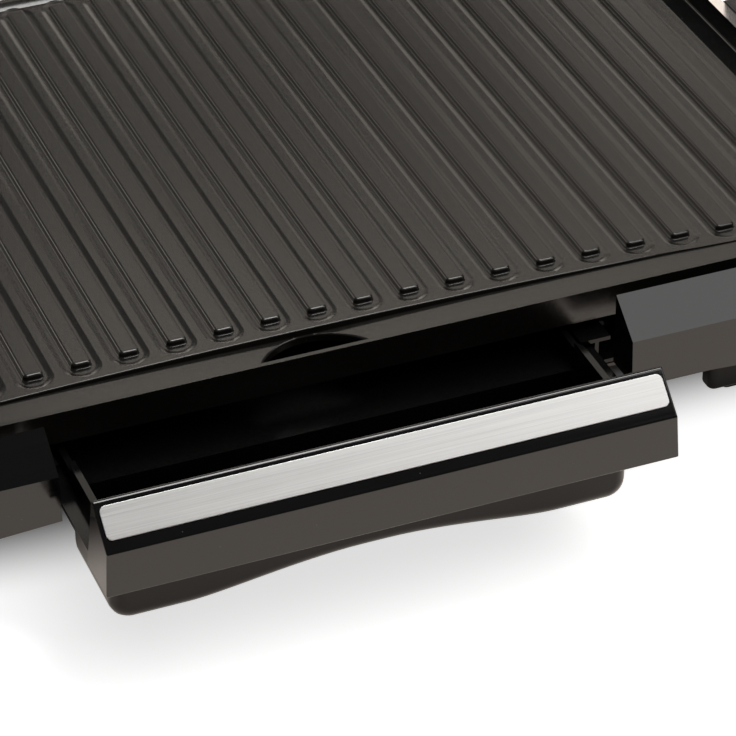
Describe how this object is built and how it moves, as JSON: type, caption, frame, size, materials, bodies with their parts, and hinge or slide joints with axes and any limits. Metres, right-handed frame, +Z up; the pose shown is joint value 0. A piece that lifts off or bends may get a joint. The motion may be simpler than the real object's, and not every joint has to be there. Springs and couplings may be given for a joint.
{
  "type": "electric_grill",
  "caption": "Indoor electric grill: ribbed lift-off plate in a glossy black base on short legs, drip drawer with a brushed strip pulled part way out.",
  "frame": {"origin": "on the worktop under the middle of the whole grill, drawer part way out as in the picture", "axes": "+X to the right seen from the drawer side, +Y to the back, +Z up"},
  "size_m": [0.5338, 0.3476, 0.0762],
  "materials": {
    "coated_aluminium": "matte dark grey non-stick coating with a fine grain",
    "gloss_black": "smooth glossy black moulding",
    "satin_black": "satin black moulding",
    "brushed_aluminium": "brushed along its length",
    "sheet_steel": "plain aluminised sheet",
    "element_sheath": "dark oxidised sheath",
    "nickel": "nickel plated",
    "rubber": "matte",
    "screw_zinc": "zinc plated"
  },
  "bodies": {
    "base": {"base_frame": "gloss_black", "control_port_liner": "satin_black", "heat_shield": "sheet_steel", "drawer_runner_left": "satin_black", "runner_screw_left_front": "screw_zinc", "runner_screw_left_rear": "screw_zinc", "leg_front_left": "satin_black", "foot_pad_front_left": "rubber", "leg_screw_front_left": "screw_zinc", "leg_rear_left": "satin_black", "foot_pad_rear_left": "rubber", "leg_screw_rear_left": "screw_zinc", "side_handle_left": "gloss_black", "handle_screw_left_front": "screw_zinc", "handle_screw_left_rear": "screw_zinc", "plate_post_front_left": "nickel", "plate_post_rear_left": "nickel", "drawer_runner_right": "satin_black", "runner_screw_right_front": "screw_zinc", "runner_screw_right_rear": "screw_zinc", "leg_front_right": "satin_black", "foot_pad_front_right": "rubber", "leg_screw_front_right": "screw_zinc", "leg_rear_right": "satin_black", "foot_pad_rear_right": "rubber", "leg_screw_rear_right": "screw_zinc", "side_handle_right": "gloss_black", "handle_screw_right_front": "screw_zinc", "handle_screw_right_rear": "screw_zinc", "plate_post_front_right": "nickel", "plate_post_rear_right": "nickel"},
    "plate": {"grill_plate": "coated_aluminium", "heating_element": "element_sheath", "terminal_pin_front": "nickel", "terminal_pin_rear": "nickel", "sensor_sleeve": "nickel", "terminal_guard": "sheet_steel", "element_clamp_1": "sheet_steel", "clamp_screw_1": "screw_zinc", "element_clamp_2": "sheet_steel", "clamp_screw_2": "screw_zinc", "element_clamp_3": "sheet_steel", "clamp_screw_3": "screw_zinc", "element_clamp_4": "sheet_steel", "clamp_screw_4": "screw_zinc"},
    "drawer": {"drawer_cap": "gloss_black", "drawer_strip": "brushed_aluminium", "drip_tray": "satin_black", "cap_screw_left": "screw_zinc", "cap_screw_middle": "screw_zinc", "cap_screw_right": "screw_zinc"}
  },
  "joints": [
    {"name": "drawer_slide", "type": "slide", "parent": "base", "child": "drawer", "axis": [0, -1, 0], "range_m": [-0.0378, 0.062]},
    {"name": "plate_lift", "type": "slide", "parent": "base", "child": "plate", "axis": [0, 0, 1], "range_m": [0, 0.08]}
  ]
}
